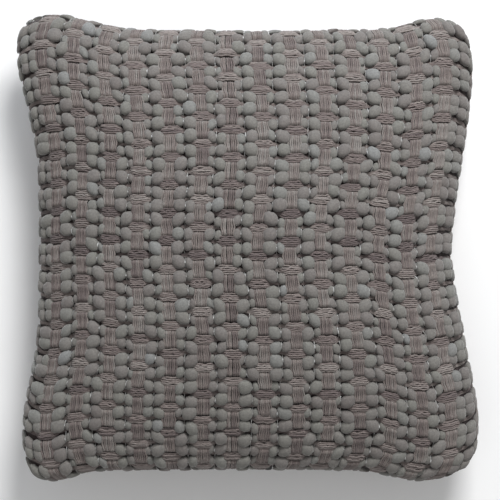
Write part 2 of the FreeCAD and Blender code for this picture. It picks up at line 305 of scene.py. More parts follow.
def even_out(values, points, axis):
    """Moves the u and v values of a grid so that its points are evenly spaced along one axis."""
    if axis == 1:
        return [a.T for a in even_out([a.T for a in values], points.swapaxes(0, 1), 0)]
    steps = np.linalg.norm(np.diff(points, axis=0), axis=2)
    length = np.vstack([np.zeros(steps.shape[1]), np.cumsum(steps, axis=0)])
    moved = [a.copy() for a in values]
    for j in range(points.shape[1]):
        target = np.linspace(0, length[-1, j], len(length))
        for a, b in zip(values, moved):
            b[:, j] = np.interp(target, length[:, j], a[:, j])
    return moved


def skin_grid(sides, crown, up):
    """A grid of evenly spaced points on a skin, as cloth that doesn't stretch would lie on it."""
    line = np.linspace(0, 1, CELLS + 1)
    u, v = np.meshgrid(line, line, indexing="ij")
    for _ in range(4):
        for axis in (0, 1):
            u, v = even_out([u, v], surface_point(sides, crown, up, u, v), axis)
    return surface_point(sides, crown, up, u, v)


def grid_faces(rows, columns, flip=False):
    """Quads of a grid of vertices."""
    a = (np.arange(rows - 1)[:, None] * columns + np.arange(columns - 1)[None, :]).ravel()
    quads = np.stack([a, a + columns, a + columns + 1, a + 1], axis=1)
    return quads[:, ::-1] if flip else quads


def face_outwards(vertices, quads):
    """The quads of a closed mesh, turned so that their normals point out of it."""
    a, b, c, d = (vertices[quads[:, i]] for i in range(4))
    volume = np.einsum("ij,ij->", a, np.cross(b, c)) + np.einsum("ij,ij->", a, np.cross(c, d))
    return quads if volume > 0 else quads[:, ::-1]


def make_mesh(name, vertices, quads):
    """A smooth mesh object from vertices in millimetres and quads."""
    mesh = bpy.data.meshes.new(name)
    mesh.vertices.add(len(vertices))
    mesh.vertices.foreach_set("co", (np.asarray(vertices) * MM).astype(np.float32).ravel())
    mesh.loops.add(quads.size)
    mesh.loops.foreach_set("vertex_index", quads.astype(np.int32).ravel())
    mesh.polygons.add(len(quads))
    mesh.polygons.foreach_set("loop_start", np.arange(0, quads.size, quads.shape[1], dtype=np.int32))
    mesh.update(calc_edges=True)
    mesh.validate()
    mesh.polygons.foreach_set("use_smooth", np.ones(len(mesh.polygons), bool))
    obj = bpy.data.objects.new(name, mesh)
    bpy.context.scene.collection.objects.link(obj)
    return obj


def simulate(name, grid, up, pressure, stretch, bending, cap):
    """Blows a skin up as cloth held along its seam, with no point moved by more than the cap."""
    rows, columns = grid.shape[:2]
    obj = make_mesh(name, grid.reshape(-1, 3), grid_faces(rows, columns, flip=up < 0))
    index = np.arange(rows * columns).reshape(rows, columns)
    edge = np.unique(np.concatenate([index[0], index[-1], index[:, 0], index[:, -1]]))
    obj.vertex_groups.new(name="seam").add(edge.tolist(), 1.0, "REPLACE")
    cloth = obj.modifiers.new("cloth", "CLOTH").settings
    settings = {"quality": 6, "mass": 0.25, "tension_stiffness": 25, "compression_stiffness": 25,
                "shear_stiffness": 8, "bending_stiffness": bending, "air_damping": 2,
                "use_pressure": True, "uniform_pressure_force": pressure, "shrink_min": -stretch,
                "vertex_group_mass": "seam"}
    for key, value in settings.items():
        setattr(cloth, key, value)
    cloth.effector_weights.gravity = 0
    scene = bpy.context.scene
    for number in range(1, CLOTH_FRAMES + 1):
        scene.frame_set(number)
    shaped = obj.evaluated_get(bpy.context.evaluated_depsgraph_get())
    found = read(shaped.data.vertices, "co", 3).reshape(grid.shape).astype(float) / MM
    scene.frame_set(1)
    bpy.data.objects.remove(obj)
    move = found - grid
    return grid + move * cap / np.maximum(np.linalg.norm(move, axis=2, keepdims=True), cap)


def upsample(grid, times):
    """A finer grid through the same points, by cubic interpolation."""
    for _ in range(2):
        count = len(grid)
        at = np.linspace(0, count - 1, (count - 1) * times + 1)
        i = np.clip(at.astype(int), 0, count - 2)
        f = (at - i)[:, None, None]
        before = np.where((i > 0)[:, None, None], grid[np.maximum(i - 1, 0)], 2 * grid[0] - grid[1])
        after = np.where((i < count - 2)[:, None, None], grid[np.minimum(i + 2, count - 1)],
                         2 * grid[-1] - grid[-2])
        a, b = grid[i], grid[i + 1]
        fine = a + 0.5 * f * (b - before + f * (2 * before - 5 * a + 4 * b - after
                                                + f * (3 * (a - b) + after - before)))
        grid = np.swapaxes(fine, 0, 1)
    return grid


class Skin:
    """A smooth sheet in space that threads are laid on, by distances across and along the cloth."""

    def __init__(self, grid, up):
        self.points = upsample(grid, FINE)
        across = np.gradient(self.points, axis=0)
        along = np.gradient(self.points, axis=1)
        normal = np.cross(across, along) * up
        normal /= np.maximum(np.linalg.norm(normal, axis=2, keepdims=True), 1e-9)
        for _ in range(6):
            padded = np.pad(normal, ((1, 1), (1, 1), (0, 0)), mode="edge")
            normal = (padded[:-2, 1:-1] + padded[2:, 1:-1] + padded[1:-1, :-2] + padded[1:-1, 2:]
                      + 4 * normal) / 8
        self.normals = normal / np.linalg.norm(normal, axis=2, keepdims=True)

    def at(self, s, t, h):
        """The place h above the sheet at s across and t along, from its middle."""
        last = len(self.points) - 1
        x = np.clip((s / HALF_WIDTH + 1) / 2, 0, 1) * last
        y = np.clip((t / HALF_LENGTH + 1) / 2, 0, 1) * last
        i = np.minimum(x.astype(int), last - 1)
        j = np.minimum(y.astype(int), last - 1)
        fx = (x - i)[..., None]
        fy = (y - j)[..., None]

        def mix(a):
            low = a[i, j] * (1 - fx) + a[i + 1, j] * fx
            high = a[i, j + 1] * (1 - fx) + a[i + 1, j + 1] * fx
            return low * (1 - fy) + high * fy

        return mix(self.points) + mix(self.normals) * np.asarray(h)[..., None]


def rest_on_floor(grid, above):
    """Presses the underside flat where it would pass the floor, with a soft edge."""
    out = grid.copy()
    out[..., 2] = above + FLOOR_BLEND * np.logaddexp(0, (grid[..., 2] - above) / FLOOR_BLEND)
    return out


OUTLINE = cad_outline()

FRONT_SIDES = outline_sides(inset_outline(OUTLINE, WEAVE_INSET) + WEAVE_SHIFT, CELLS + 1)
front_start = skin_grid(FRONT_SIDES, CROWN_TOP - SEAM_Z - WEAVE_DEPTH, 1)
FRONT = Skin(simulate("front_cloth", front_start, 1, 1.0, 0.0, 40.0, 2.0), 1)

BACK_SIDES = outline_sides(inset_outline(OUTLINE, CANVAS_INSET), CELLS + 1)
back_start = skin_grid(BACK_SIDES, SEAM_Z + BELLY_PAST_FLOOR, -1)
BACK = Skin(rest_on_floor(simulate("back_cloth", back_start, -1, 3.0, 0.03, 0.8, 9.0), 0.0), -1)


# ---- materials ----


class Nodes:
    """A short way to write a node material."""

    def __init__(self, name):
        self.material = bpy.data.materials.new(name)
        self.material.use_nodes = True
        self.tree = self.material.node_tree
        self.shader = self.tree.nodes["Principled BSDF"]

    def add(self, kind, settings=None, **inputs):
        """A node with some properties set and some inputs, by name or as i0, i1, set or linked."""
        node = self.tree.nodes.new(kind)
        for key, value in (settings or {}).items():
            setattr(node, key, value)
        for key, value in inputs.items():
            self.set(node.inputs[int(key[1:]) if key[1:].isdigit() else key], value)
        return node

    def set(self, socket, value):
        """Sets or links one input."""
        if isinstance(value, bpy.types.NodeSocket):
            self.tree.links.new(value, socket)
        else:
            socket.default_value = value

    def attribute(self, name, output):
        """A value stored on the mesh."""
        return self.add("ShaderNodeAttribute", {"attribute_name": name}).outputs[output]

    def place(self):
        """The place on the object, in millimetres."""
        place = self.add("ShaderNodeTexCoord").outputs["Object"]
        return self.add("ShaderNodeVectorMath", {"operation": "SCALE"}, i0=place, Scale=1 / MM).outputs[0]

    def maths(self, operation, a, b=0.0, c=0.5):
        """A sum, product or other function of two or three values."""
        return self.add("ShaderNodeMath", {"operation": operation}, i0=a, i1=b, i2=c).outputs[0]

    def noise(self, vector, scale, detail=3.0, roughness=0.55):
        """Noise over a vector."""
        return self.add("ShaderNodeTexNoise", None, Vector=vector, Scale=scale, Detail=detail,
                        Roughness=roughness).outputs["Fac"]

    def wave(self, vector, direction, **inputs):
        """Bands over a vector."""
        settings = {"wave_type": "BANDS", "bands_direction": direction}
        return self.add("ShaderNodeTexWave", settings, Vector=vector, **inputs).outputs["Fac"]

    def ramp(self, value, *stops):
        """A colour ramp through (place, colour) stops."""
        node = self.add("ShaderNodeValToRGB", None, Fac=value)
        elements = node.color_ramp.elements
        while len(elements) < len(stops):
            elements.new(0.5)
        for element, (place, colour) in zip(elements, stops):
            element.position = place
            element.color = (*colour, 1)
        return node.outputs["Color"]

    def multiply(self, a, b):
        """The product of two colours."""
        node = self.add("ShaderNodeMix", {"data_type": "RGBA", "blend_type": "MULTIPLY"}, i0=1.0, i6=a, i7=b)
        return node.outputs[2]

    def bump(self, height, strength, distance):
        """A bump from a height."""
        return self.add("ShaderNodeBump", None, Height=height, Strength=strength,
                        Distance=distance).outputs["Normal"]

    def finish(self, colour, roughness, normal=None, sheen=0.0, metallic=0.0):
        """Feeds the shader and returns the material."""
        self.set(self.shader.inputs["Base Color"], colour)
        self.set(self.shader.inputs["Roughness"], roughness)
        self.shader.inputs["Metallic"].default_value = metallic
        if sheen:
            self.shader.inputs["Sheen Weight"].default_value = sheen
            self.shader.inputs["Sheen Roughness"].default_value = 0.42
        if normal is not None:
            self.set(self.shader.inputs["Normal"], normal)
        return self.material


def tone(*levels):
    """A shader colour from the usual 0 to 255 levels."""
    shares = [level / 255 for level in levels]
    return tuple(x / 12.92 if x <= 0.04045 else ((x + 0.055) / 1.055) ** 2.4 for x in shares)


def rope_material():
    """Soft matte jersey rope: fine fibre, faint knit lines and a slow drift of shade."""
    n = Nodes("woven_front_rope")
    place = n.place()
    shade = n.ramp(n.attribute("tint", "Fac"), (0.0, tone(109, 104, 101)), (0.35, tone(116, 112, 109)),
                   (0.65, tone(117, 116, 111)), (1.0, tone(127, 128, 127)))
    mottle = n.ramp(n.noise(place, 0.55, 5, 0.7), (0.34, (0.79, 0.78, 0.79)), (0.68, (1.17, 1.17, 1.16)))
    lines = n.wave(n.attribute("thread", "Vector"), "X", Scale=0.42, Distortion=2.2, Detail=2.0)
    height = n.maths("ADD", n.maths("MULTIPLY", lines, 0.3), n.noise(place, 2.6, 4, 0.65))
    return n.finish(n.multiply(shade, mottle), 0.95, n.bump(height, 0.55, 0.0005), sheen=0.25)


def yarn_material(name, low, middle, high):
    """Fine twisted cotton yarn, its shade different from one end to the next."""
    n = Nodes(name)
    place = n.place()
    shade = n.ramp(n.attribute("tint", "Fac"), (0.0, tone(*low)), (0.5, tone(*middle)), (1.0, tone(*high)))
    slub = n.ramp(n.noise(place, 0.35, 3), (0.3, (0.8, 0.79, 0.79)), (0.7, (1.14, 1.13, 1.13)))
    ply = n.wave(n.attribute("thread", "Vector"), "DIAGONAL", Scale=1.6, Distortion=0.6)
    height = n.maths("ADD", ply, n.noise(place, 4.0, 3))
    return n.finish(n.multiply(shade, slub), 0.9, n.bump(height, 0.4, 0.0003), sheen=0.15)


def cloth_material(name, low, high, pitch, strength=0.6):
    """Plain woven cloth: over and under threads at the given pitch, slubs, painted shade where the threads
    dip, and a little sheen.
    """
    n = Nodes(name)
    cloth = n.attribute("thread", "Vector")
    split = n.add("ShaderNodeSeparateXYZ", None, Vector=cloth).outputs
    turns = math.pi / pitch
    over = n.maths("MULTIPLY", *(n.maths("SINE", n.maths("MULTIPLY", split[axis], turns)) for axis in "XY"))
    height = n.maths("ADD", over, n.maths("MULTIPLY", n.noise(cloth, 0.9, 3), 1.2))
    base = n.ramp(n.noise(n.place(), 0.12, 4), (0.3, tone(*low)), (0.7, tone(*high)))
    # Painted shade: the colour is darker where the weave's height runs low.
    weave_painted_shade = n.ramp(n.maths("MULTIPLY_ADD", over, 0.25), (0.0, (0.8, 0.8, 0.8)), (0.5, (1.05, 1.05, 1.05)))
    return n.finish(n.multiply(base, weave_painted_shade), 0.92, n.bump(height, strength, 0.0003), sheen=0.2)


def plain_material(name, levels, roughness, metallic=0.0):
    """A worn plain finish: metal, or plastic, with fine scratches and a slow drift of shade."""
    n = Nodes(name)
    place = n.place()
    colour = tone(*levels)
    drift = n.ramp(n.noise(place, 0.4, 3), (0.3, tuple(c * 0.82 for c in colour)), (0.7, colour))
    rough = n.maths("MULTIPLY_ADD", n.noise(place, 3.0, 4), 0.2, roughness - 0.1)
    return n.finish(drift, rough, n.bump(n.noise(place, 5.0, 3), 0.2, 0.0002), metallic=metallic)


# Each finish is a material and the record's slot that it stands for.
ROPE = (rope_material(), "woven_front")
BAND = (yarn_material("woven_front_band", (103, 93, 91), (122, 113, 109), (134, 129, 125)), "woven_front")
PICK = (yarn_material("woven_front_pick", (101, 91, 90), (121, 111, 108), (140, 133, 129)), "woven_front")
# The binder is a pale thread; the near-white top of its ramp paints glints at the clefts.
BINDER_WITH_PAINTED_GLINTS = (yarn_material("woven_front_binder_painted_glints", (118, 115, 111), (142, 141, 138), (212, 214, 213)),
          "woven_front")
# The lining is a real backing cloth, but its near-black brown is painted shade for the crevices between the
# pebbles.
LINING_PAINTED_SHADE = (cloth_material("lining", (47, 37, 37), (57, 46, 46), 0.6), "lining")
CANVAS = (cloth_material("canvas", (118, 108, 104), (130, 121, 117), 0.8, 0.8), "canvas")
TAPE = (cloth_material("zip_tape", (96, 88, 86), (106, 98, 95), 0.5), "zip_tape")
CASING = (cloth_material("casing", (226, 224, 218), (236, 235, 230), 0.4, 0.3), "casing")
LABEL = (cloth_material("label", (228, 226, 220), (236, 235, 231), 0.35, 0.3), "label")
THREAD = (yarn_material("thread", (116, 106, 103), (134, 124, 120), (148, 140, 136)), "thread")
WHITE_THREAD = (yarn_material("casing_thread", (215, 213, 208), (228, 227, 223), (238, 237, 234)), "thread")
OVERLOCK = (yarn_material("overlock", (104, 96, 93), (120, 111, 107), (132, 124, 120)), "overlock")
COIL = (plain_material("zip_coil", (112, 103, 100), 0.45), "zip_coil")
METAL = (plain_material("zip_metal", (150, 146, 140), 0.35, 1.0), "zip_metal")
FILL = (cloth_material("fill", (238, 238, 235), (246, 246, 244), 2.0, 0.9), "fill")


# ---- building pieces ----


def store(obj, name, values):
    """Stores one value or vector for each vertex."""
    values = np.asarray(values, np.float32)
    kind, field = ("FLOAT", "value") if values.ndim == 1 else ("FLOAT_VECTOR", "vector")
    obj.data.attributes.new(name, kind, "POINT").data.foreach_set(field, values.ravel())


def place_piece(obj, finish, body="cover"):
    """Gives a piece its material and body."""
    material, slot = finish
    obj.data.materials.append(material)
    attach(obj, body)
    return obj


def tubes(name, places, tint, around):
    """Closed tubes from an array of rings: tube, ring along it, point round it."""
    count, rings, points = places.shape[:3]
    a = np.arange(rings - 1)[:, None] * points
    b = np.arange(points)
    c = (b + 1) % points
    quads = [np.stack([a + b, a + c, a + points + c, a + points + b], axis=-1).reshape(-1, 4)]
    i = np.arange(points // 2 - 1)
    cap = np.stack([i, points - 1 - i, points - 2 - i, i + 1], axis=1)
    quads += [cap, cap[:, ::-1] + (rings - 1) * points]
    one = np.concatenate(quads)
    shift = (np.arange(count) * rings * points)[:, None, None]
    vertices = places.reshape(-1, 3)
    obj = make_mesh(name, vertices, face_outwards(vertices, (one[None] + shift).reshape(-1, 4)))
    steps = np.linalg.norm(np.diff(places.mean(axis=2), axis=1), axis=2)
    along = np.concatenate([np.zeros((count, 1)), np.cumsum(steps, axis=1)], axis=1)
    thread = np.zeros((count, rings, points, 3))
    own_stretch = 37.0
    thread[..., 0] = along[..., None] + np.arange(count)[:, None, None] * own_stretch
    thread[..., 1] = np.arange(points) / points * around
    store(obj, "thread", thread.reshape(-1, 3))
    store(obj, "tint", np.broadcast_to(np.asarray(tint), (count, rings, points)).ravel())
    return obj


def closed_sheet(name, outer, inner, thread, finish):
    """A closed sheet between two grids of points, with each point's place on the cloth."""
    rows, columns = outer.shape[:2]
    size = rows * columns
    index = np.arange(size).reshape(rows, columns)
    ring = np.concatenate([index[:-1, 0], index[-1, :-1], index[:0:-1, -1], index[0, :0:-1]])
    after = np.roll(ring, -1)
    rim = np.stack([ring, after, after + size, ring + size], axis=1)
    quads = np.concatenate([grid_faces(rows, columns, True), grid_faces(rows, columns) + size, rim])
    vertices = np.concatenate([outer.reshape(-1, 3), inner.reshape(-1, 3)])
    obj = make_mesh(name, vertices, face_outwards(vertices, quads))
    flat = np.concatenate([thread, np.zeros((rows, columns, 1))], axis=2).reshape(-1, 3)
    store(obj, "thread", np.concatenate([flat, flat]))
    return place_piece(obj, finish)


def shell(name, skin, outer, inner, finish, step=2, span=None):
    """A closed sheet that follows a skin between two distances from it, over all of it or a span."""
    last = len(skin.points) - 1
    u = v = np.arange(0, last + 1, step)
    if span:
        u, v = (np.unique(np.linspace(a * last, b * last, 24).astype(int)) for a, b in span)
    points = skin.points[np.ix_(u, v)]
    normals = skin.normals[np.ix_(u, v)]
    s, t = np.meshgrid((u / last * 2 - 1) * HALF_WIDTH, (v / last * 2 - 1) * HALF_LENGTH, indexing="ij")
    return closed_sheet(name, points + normals * outer, points + normals * inner, np.stack([s, t], axis=2),
                        finish)


def rim_squash(s, t):
    """How much of its height the weave keeps near the seam that presses it together."""
    edge = np.minimum(HALF_WIDTH - np.abs(s), HALF_LENGTH - np.abs(t))
    return SQUASH_LEAST + (1 - SQUASH_LEAST) * smooth_step(edge / SQUASH_WIDTH)


def thread_pieces(name, parts, lines, across, finish):
    """Round threads on the front, as one piece or as several of neighbouring threads.

    The lines are each thread's places across, along and above the cloth, its radius and its tint.
    """
    side, lift = section(THREAD_POINTS)
    made = []
    for part, keep in enumerate(np.array_split(np.arange(len(lines[0])), parts)):
        s, t, h, radius, tint = (line[keep][..., None] for line in lines)
        squash = rim_squash(s, t)
        places = FRONT.at(s + side * radius * across[0], t + side * radius * across[1],
                          (h + lift * radius) * squash)
        label = f"{name}_{part + 1}" if parts > 1 else name
        obj = tubes(label, places, tint, 2 * math.pi * float(radius.mean()))
        made.append(place_piece(obj, finish))
    return made


# ---- the woven front ----

BAND_NUMBERS = np.arange(math.ceil((-OUTER_BAND - BAND_SHIFT) / BAND_PITCH),
                         math.floor((OUTER_BAND - BAND_SHIFT) / BAND_PITCH) + 1)
BANDS = BAND_SHIFT + BAND_PITCH * BAND_NUMBERS + rng.uniform(-0.9, 0.9, len(BAND_NUMBERS))
ROWS = np.arange(-ROWS_EACH_WAY, ROWS_EACH_WAY + 1)
GAP_EDGES = np.concatenate([[-HALF_WIDTH - PAST_SEAM], BANDS, [HALF_WIDTH + PAST_SEAM]])
GAPS = len(GAP_EDGES) - 1


def cleft_places():
    """Where the two pebbles of each gap and row meet, as distances across the cloth."""
    runs = len(ROWS) // 4 + 1
    lean = rng.choice([-1, 1], (GAPS, runs)) * rng.uniform(0.09, 0.23, (GAPS, runs))
    lean = lean.repeat(4, axis=1)[:, : len(ROWS)] + rng.normal(0, 0.05, (GAPS, len(ROWS)))
    share = np.clip(0.5 + lean, 0.25, 0.75)
    low = GAP_EDGES[:-1, None] + BAND_WIDTH / 2
    high = GAP_EDGES[1:, None] - BAND_WIDTH / 2
    return low + (high - low) * share


CLEFTS = cleft_places()


def pebble_samples(start, end):
    """One pebble: rows of place, half width, half thickness, height, drift and shade."""
    x = -np.cos(np.linspace(0, math.pi, PEBBLE_SAMPLES))
    full = (1 - np.abs(x) ** 2.1) ** 0.48
    length = end - start
    size = np.clip(0.36 + 0.64 * length / 12.0, 0.6, 1.05) * rng.uniform(0.88, 1.08)
    width = PEBBLE_HALF_HEIGHT * min(size, 1.03) * (PINCH_WIDTH + (1 - PINCH_WIDTH) * full)
    thick = PEBBLE_HALF_THICK * size * (PINCH_THICK + (1 - PINCH_THICK) * full)
    height = PINCH_HEIGHT + (PEBBLE_HEIGHT * size - PINCH_HEIGHT) * full
    drift = rng.normal(0, 0.8) + x * rng.normal(0, 0.6)
    place = (start + end) / 2 + 0.97 * x * length / 2
    return np.stack([place, width, thick, height, drift, np.full(PEBBLE_SAMPLES, rng.normal(0.5, 0.2))])


def lens_push(row, places):
    """How far a row is pushed along the cloth, away from the picks that cross the bands beside it."""
    return LENS_PUSH * np.cos(math.pi * (row + np.interp(places, BANDS, BAND_NUMBERS)))


def rope_profile(row):
    """Samples along one rope: place, half width, half thickness, height, drift and shade."""
    parts = []
    for gap in range(GAPS):
        start = GAP_EDGES[gap] + TUCK + rng.uniform(-0.5, 0.9)
        end = GAP_EDGES[gap + 1] - TUCK - rng.uniform(-0.5, 0.9)
        cuts = [start, CLEFTS[gap, row], end]
        if end - start > WIDE_GAP:
            cuts = np.linspace(start, end, 4)
        for low, high in zip(cuts[:-1], cuts[1:]):
            parts.append(pebble_samples(low, high))
        under = [GAP_EDGES[gap + 1], UNDER_WIDTH, UNDER_THICK, UNDER_HEIGHT, 0.0, 0.5]
        parts.append(np.array(under)[:, None])
    samples = np.concatenate(parts, axis=1)
    near = np.min(np.abs(samples[0][:, None] - BANDS[None]), axis=1)
    under = 1 - smooth_step((near - TUCK + 1.6) / 2.6)
    for line, value in ((1, UNDER_WIDTH), (2, UNDER_THICK), (3, UNDER_HEIGHT)):
        samples[line] += (value - samples[line]) * under
    samples[4] += lens_push(ROWS[row], samples[0])
    return samples


def weft_rope(row):
    """The rings and tints of one soft rope, puffed into pebbles between the bands."""
    side, lift = section(ROPE_POINTS, ROPE_SQUARE)
    samples = rope_profile(row)
    places, width, thick, height, drift, shade = samples[:, np.abs(samples[0]) <= HALF_WIDTH + 0.5]
    middle = ROWS[row] * ROW_PITCH + drift
    places = np.clip(places, -HALF_WIDTH, HALF_WIDTH)
    width = np.minimum(width, HALF_LENGTH + 1 - np.abs(middle))
    squash = rim_squash(places, middle)[:, None]
    lumps = 1 + rng.normal(0, 0.035, (len(places), ROPE_POINTS))
    tt = middle[:, None] + side * width[:, None] * lumps
    hh = (height[:, None] + lift * thick[:, None] * lumps) * squash
    ss = np.broadcast_to(places[:, None], tt.shape)
    return FRONT.at(ss, tt, hh), np.clip(shade, 0, 1)[:, None]


def same_length(arrays):
    """Arrays stacked, with the last entry of the shorter ones repeated."""
    longest = max(len(a) for a in arrays)
    return np.stack([np.concatenate([a, np.repeat(a[-1:], longest - len(a), axis=0)]) for a in arrays])


def build_ropes():
    """Makes the ropes as four pieces of neighbouring rows."""
    ropes = [weft_rope(row) for row in range(len(ROWS))]
    made = []
    for part, rows in enumerate(np.array_split(np.arange(len(ROWS)), 4)):
        rings, tints = (same_length([ropes[row][i] for row in rows]) for i in (0, 1))
        obj = tubes(f"front_weft_ropes_{part + 1}", rings, tints, 32.0)
        made.append(place_piece(obj, ROPE))
    return made


def lens_rows(number):
    """The half rows at which picks pass over a band."""
    halves = np.arange(-ROWS_EACH_WAY - 1, ROWS_EACH_WAY + 1) + 0.5
    return halves[(np.floor(halves) + number) % 2 == 1]


def band_height(t, number):
    """How high a band lies along its length: over the ropes, and down under the picks."""
    near = np.min(np.abs(t[:, None] - lens_rows(number) * ROW_PITCH), axis=1)
    bridge = 0.4 * np.cos(2 * math.pi * t / ROW_PITCH)
    return BAND_LOW + (BAND_RISE + bridge) * smooth_step((near - 2.8) / 4.2)


def slow_noise(t, middle, spread, knots):
    """Random values that drift slowly along a thread."""
    return np.interp(t, np.linspace(t[0], t[-1], knots), rng.normal(middle, spread, knots))


def build_bands():
    """The warp bands: seven fine ends side by side, as two pieces of neighbouring bands."""
    t = np.linspace(-HALF_LENGTH, HALF_LENGTH, 290)
    between = np.abs(np.cos(math.pi * t / ROW_PITCH))
    lines = []
    for band, number in zip(BANDS, BAND_NUMBERS):
        high = band_height(t, number)
        over = (high - BAND_LOW) / BAND_RISE
        spread = 0.9 + 0.1 * over - 0.2 * over * between
        wander = slow_noise(t, 0, 0.6, 30)
        patch = slow_noise(t, 0.45, 0.22, 19)
        for end in range(BAND_ENDS):
            offset = (end - (BAND_ENDS - 1) / 2) * BAND_WIDTH / BAND_ENDS
            s = band + wander + offset * spread + rng.normal(0, 0.12)
            h = high + rng.normal(0, 0.16) - 0.7 * (abs(offset) / (BAND_WIDTH / 2)) ** 3
            radius = np.full(len(t), END_RADIUS * rng.uniform(0.92, 1.06))
            tint = np.clip(patch + slow_noise(t, 0, 0.16, 40) + rng.normal(0, 0.16), 0, 1)
            lines.append((s, t, h, radius, tint))
    return thread_pieces("front_warp_bands", 2, [np.stack(line) for line in zip(*lines)], (1, 0), BAND)


def build_picks():
    """The fine picks: groups that pass over every other band and hide under the pebbles."""
    share = np.linspace(0, 1, 13)[:-1]
    places = (GAP_EDGES[:-1, None] + np.diff(GAP_EDGES)[:, None] * share).ravel()
    places = places[np.abs(places) <= HALF_WIDTH]
    places = np.concatenate([[-HALF_WIDTH], places, [HALF_WIDTH]])
    radius = np.full(len(places), PICK_RADIUS)
    lines = []
    for half in ROWS[:-1] + 0.5:
        mine = [b for b, number in zip(BANDS, BAND_NUMBERS) if half in lens_rows(number)]
        near = np.min(np.abs(places[:, None] - np.array(mine)[None]), axis=1)
        over = 1 - smooth_step((near - 7.0) / 5.8)
        spread = 1 - smooth_step((near - 7.2) / 6.5)
        fan = BUNDLE_FAN + (LENS_FAN - BUNDLE_FAN) * spread
        shade = np.clip(rng.normal(0.5, 0.2), 0, 1)
        sway = np.interp(places, BANDS, rng.normal(0, 0.7, len(BANDS)))
        for pick in range(PICKS):
            order = pick - (PICKS - 1) / 2
            t = half * ROW_PITCH + sway + order * fan + rng.normal(0, 0.32, len(places))
            rise = LENS_HEIGHT - BUNDLE_LOW - 0.2 * order * order + rng.normal(0, 0.2)
            tint = np.full(len(places), np.clip(shade + rng.normal(0, 0.18), 0, 1))
            lines.append((places, t, BUNDLE_LOW + rise * over, radius, tint))
    return thread_pieces("front_fine_picks", 2, [np.stack(line) for line in zip(*lines)], (0, 1), PICK)


def build_binder():
    """The thin pale binder: one thread down each gap, over every rope where it is pinched, with painted
    glints in its random tint.
    """
    ends = ROWS_EACH_WAY + 0.5
    fine = np.linspace(-ends, ends, 16 * ROWS_EACH_WAY + 9)
    over = 0.5 + 0.5 * np.cos(2 * math.pi * fine)
    s, h = [], []
    for gap in range(1, GAPS - 1):
        s.append(np.interp(fine, ROWS, CLEFTS[gap]))
        reach = np.interp(fine, ROWS, rng.uniform(0.8, 1.16, len(ROWS)))
        h.append(0.4 + 4.9 * reach * over**1.5 + rng.normal(0, 0.12, len(fine)))
    s, h = np.stack(s), np.stack(h)
    t = np.clip(np.broadcast_to(fine * ROW_PITCH, s.shape), -HALF_LENGTH, HALF_LENGTH)
    radius = BINDER_RADIUS * rng.uniform(0.7, 1.4, s.shape)
    # Random tint along the thread: its brightest spots are painted glints.
    tint = np.clip(rng.normal(0.5, 0.3, s.shape), 0, 1)
    return thread_pieces("front_binder_threads", 1, (s, t, h, radius, tint), (1, 0), BINDER_WITH_PAINTED_GLINTS)


ropes = build_ropes()
weave = ropes + build_bands() + build_picks() + build_binder()
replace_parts(ropes[0], "front_panel")

# The lining shows in the crevices under the weave, and its dark colour is painted crevice shade.
lining = shell("front_lining_cloth", FRONT, 0.0, -LINING_THICK, LINING_PAINTED_SHADE)
canvas = shell("back_canvas", BACK, 0.0, -CANVAS_THICK, CANVAS, step=1)
for piece, node in ((lining, "front_lining"), (canvas, "back_panel")):
    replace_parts(piece, node)


# ---- seams and label ----


def outline_run(outline, start, end, spacing):
    """Evenly spaced points along an outline, anticlockwise from near one point to near another."""
    ring = np.vstack([outline, outline[:1]])
    length = distances(ring)
    first, last = (length[np.argmin(np.linalg.norm(outline - np.array(p), axis=1))] for p in (start, end))
    if last <= first:
        last += length[-1]
    return walk(ring, length, np.linspace(first, last, int((last - first) / spacing) + 1) % length[-1])


def at_height(path, z):
    """Points of a plan, at one height."""
    return np.concatenate([path, np.full((len(path), 1), z)], axis=1)


def path_frames(path, reference):
    """The two directions square to a path, the first also square to a reference direction."""
    along = np.gradient(path, axis=-2)
    across = np.cross(along, reference)
    across /= np.linalg.norm(across, axis=-1, keepdims=True)
    over = np.cross(across, along)
    over /= np.linalg.norm(over, axis=-1, keepdims=True)
    return across, over


def sweep(name, paths, reference, half_width, half_thick, points, finish, body="cover", square=2.0,
          tint=0.5):
    """Tubes along some paths of the same length, round or nearly square in section."""
    side, lift = section(points, square)
    across, over = path_frames(paths, reference)
    half_width = np.broadcast_to(half_width, paths.shape[:2])[..., None, None]
    half_thick = np.broadcast_to(half_thick, paths.shape[:2])[..., None, None]
    places = paths[:, :, None] + across[:, :, None] * side[:, None] * half_width
    places = places + over[:, :, None] * lift[:, None] * half_thick
    return place_piece(tubes(name, places, tint, 2 * math.pi * float(half_width.mean())), finish, body)


def stitch_row(name, path, over, length, gap, radius, finish):
    """A row of separate stitches along a path, each a short thread that rises in its middle."""
    at = distances(path)
    count = int(at[-1] // (length + gap))
    where = np.arange(count)[:, None] * (length + gap) + np.linspace(0, length, len(STITCH_RISE))[None]
    places = walk(path, at, where) + np.array(over) * (STITCH_RISE * radius * 0.4)[:, None]
    thick = np.broadcast_to(radius * STITCH_SHAPE, where.shape)
    tint = rng.uniform(0.2, 0.8, count)[:, None, None]
    return sweep(name, places, over, thick, thick, 6, finish, tint=tint)


def overlock_row(name, path, half_width, half_thick, pitch, radius, finish):
    """A thread that wraps round and round a flat edge."""
    at = distances(path)
    where = np.arange(0, at[-1], pitch / 10)
    centre = walk(path, at, where)
    across, over = path_frames(centre, (0, 0, 1))
    turn = where[:, None] / pitch * 2 * math.pi
    wrapped = centre + across * np.cos(turn) * half_width + over * np.sin(turn) * half_thick
    never_along = (0.3, 0.2, 1.0)
    return sweep(name, wrapped[None], never_along, radius, radius, 5, finish)


